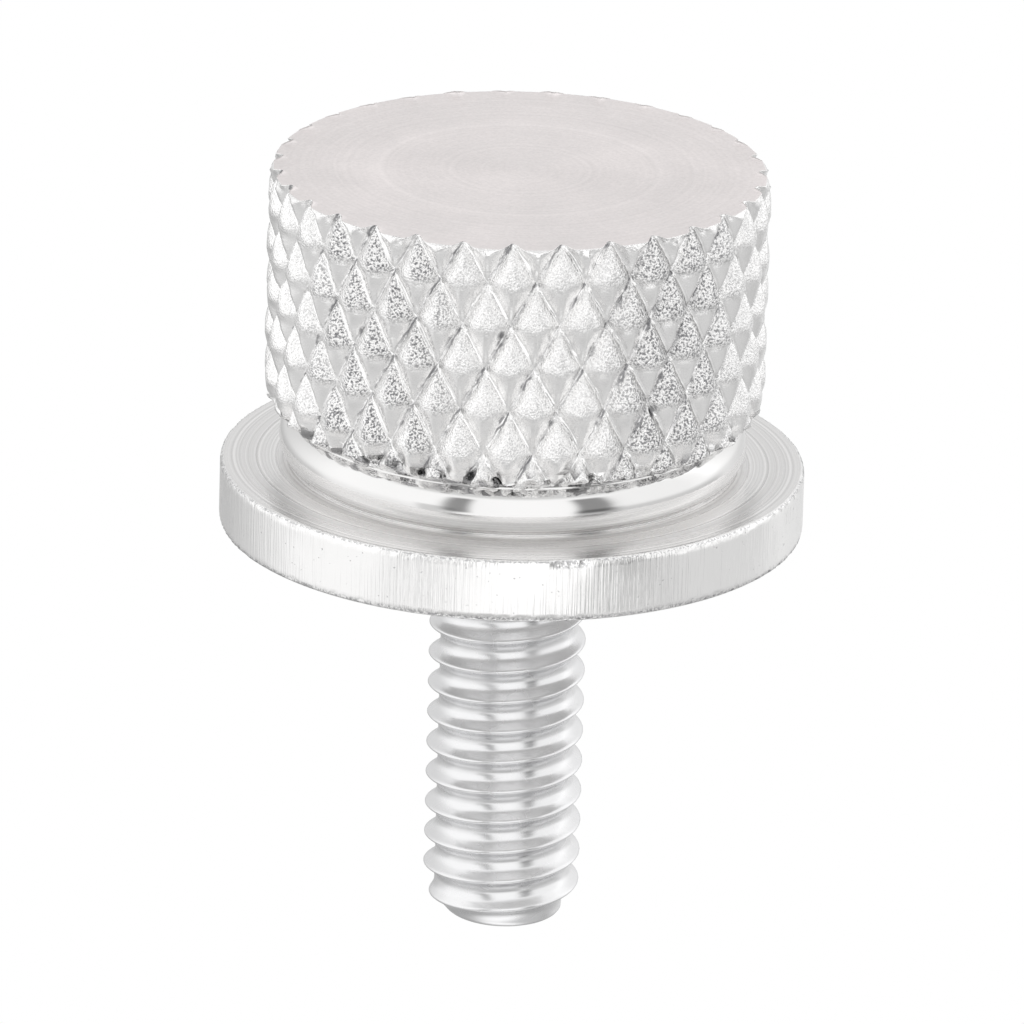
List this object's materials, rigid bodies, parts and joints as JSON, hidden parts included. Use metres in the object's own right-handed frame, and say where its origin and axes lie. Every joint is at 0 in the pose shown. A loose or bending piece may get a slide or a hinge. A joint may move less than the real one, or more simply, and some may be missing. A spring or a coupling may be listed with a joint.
{
  "type": "seat bolt",
  "caption": "Thumb bolt turned from aluminium, with a diamond-knurled round head, a bead, a plain flange and a threaded stud.",
  "frame": {"origin": "centre of the flat head face, on which the bolt stands", "axes": "+Z along the bolt's axis, from the head face towards the end of the stud"},
  "size_m": [0.023, 0.023, 0.0312],
  "materials": {
    "turned_aluminium": "raw turned and knurled aluminium, bright on the bead and the thread, finely etched on the knurl"
  },
  "bodies": {
    "root": {"seat_bolt": "turned_aluminium"}
  },
  "joints": []
}
